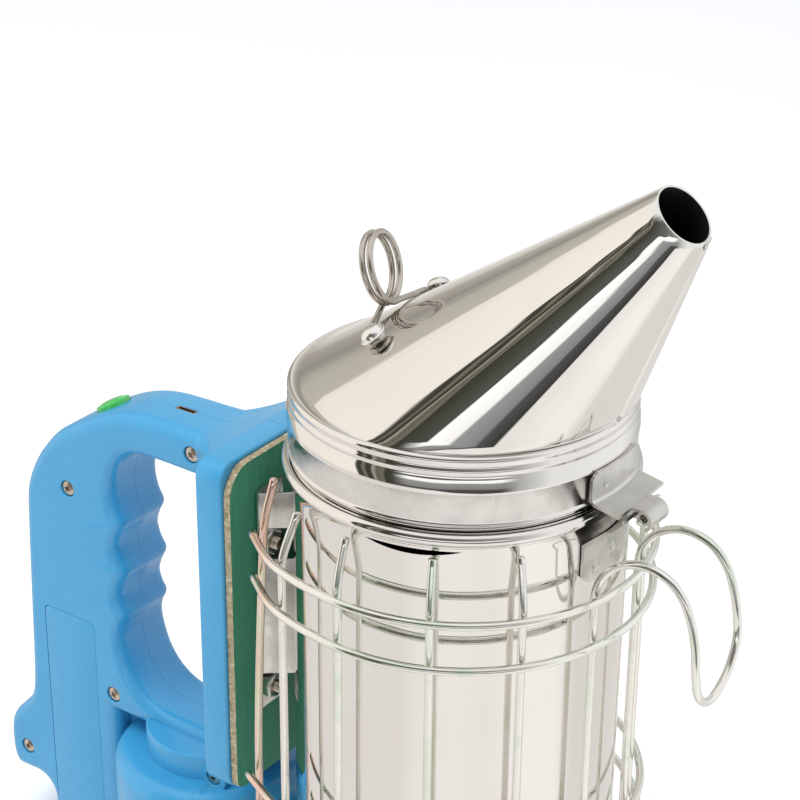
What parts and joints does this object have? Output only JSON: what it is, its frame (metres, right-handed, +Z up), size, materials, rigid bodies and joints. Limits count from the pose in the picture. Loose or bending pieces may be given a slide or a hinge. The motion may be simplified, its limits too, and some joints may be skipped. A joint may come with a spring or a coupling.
{
  "type": "electric bee smoker",
  "caption": "Steel fire pot in a wire guard with a hinged slanted spout lid, a hanging hook, and a plastic pistol-grip blower handle with a push button.",
  "frame": {"origin": "centre of the pot's underside, on the floor it stands on", "axes": "+X from the pot axis towards the hinge and the spout, -X towards the handle, +Z up along the pot axis"},
  "size_m": [0.2722, 0.1174, 0.2935],
  "materials": {
    "mirror_steel": "polished stainless sheet",
    "satin_steel": "satin stainless",
    "zinc": "zinc-plated wire and fasteners",
    "blue_shell": "moulded, satin gloss",
    "green_board": "glass-fibre laminate, sawn edge",
    "green_button": "translucent cap",
    "black_plastic": "moulded",
    "cell_wrap": "shrink sleeve"
  },
  "bodies": {
    "smoker_body": {"air_inlet_tube": "satin_steel", "battery_cell": "cell_wrap", "battery_contact_bottom": "zinc", "battery_contact_top": "zinc", "bracket_bolt_1": "zinc", "bracket_bolt_2": "zinc", "bracket_bolt_3": "zinc", "bracket_bolt_4": "zinc", "bracket_nut_1": "zinc", "bracket_nut_2": "zinc", "bracket_nut_3": "zinc", "bracket_nut_4": "zinc", "case_screw_1": "zinc", "case_screw_2": "zinc", "case_screw_3": "zinc", "case_screw_4": "zinc", "case_screw_5": "zinc", "circuit_board": "green_board", "fan_cover": "blue_shell", "fan_motor": "satin_steel", "fire_pot": "mirror_steel", "guard_hook": "zinc", "guard_ring_1": "zinc", "guard_ring_2": "zinc", "guard_ring_3": "zinc", "guard_ring_4": "zinc", "guard_wire_1": "zinc", "guard_wire_10": "zinc", "guard_wire_2": "zinc", "guard_wire_3": "zinc", "guard_wire_4": "zinc", "guard_wire_5": "zinc", "guard_wire_6": "zinc", "guard_wire_7": "zinc", "guard_wire_8": "zinc", "guard_wire_9": "zinc", "heat_board": "green_board", "hinge_leaf_lower": "satin_steel", "hinge_pin": "zinc", "housing_left": "blue_shell", "housing_right": "blue_shell", "mounting_bracket": "satin_steel", "pot_base_cup": "satin_steel", "tact_switch": "black_plastic", "usb_socket": "zinc"},
    "lid": {"lid_band": "mirror_steel", "spout_cone": "mirror_steel", "coil_handle": "satin_steel", "lid_rivet_right": "mirror_steel", "lid_rivet_left": "mirror_steel", "hinge_leaf_upper": "satin_steel"},
    "button": {"push_button": "green_button"},
    "fan": {"fan_impeller": "black_plastic"},
    "door": {"battery_door": "blue_shell"},
    "grate": {"fire_grate": "satin_steel"}
  },
  "joints": [
    {"name": "lid_hinge", "type": "hinge", "parent": "smoker_body", "child": "lid", "pos_m": [0.0623, 0, 0.1976], "axis": [0, 1, 0], "range_deg": [0, 80]},
    {"name": "button_press", "type": "slide", "parent": "smoker_body", "child": "button", "axis": [0.4924, 0, -0.8704], "range_m": [0, 0.0012], "stiffness_N_per_m": 400},
    {"name": "fan_spin", "type": "hinge", "parent": "smoker_body", "child": "fan", "pos_m": [-0.098, 0, 0.024], "axis": [0, 0, 1], "continuous": true},
    {"name": "door_pull", "type": "slide", "parent": "smoker_body", "child": "door", "axis": [0, -1, 0], "range_m": [0, 0.03]},
    {"name": "grate_lift", "type": "slide", "parent": "smoker_body", "child": "grate", "axis": [0, 0, 1], "range_m": [0, 0.1]}
  ]
}
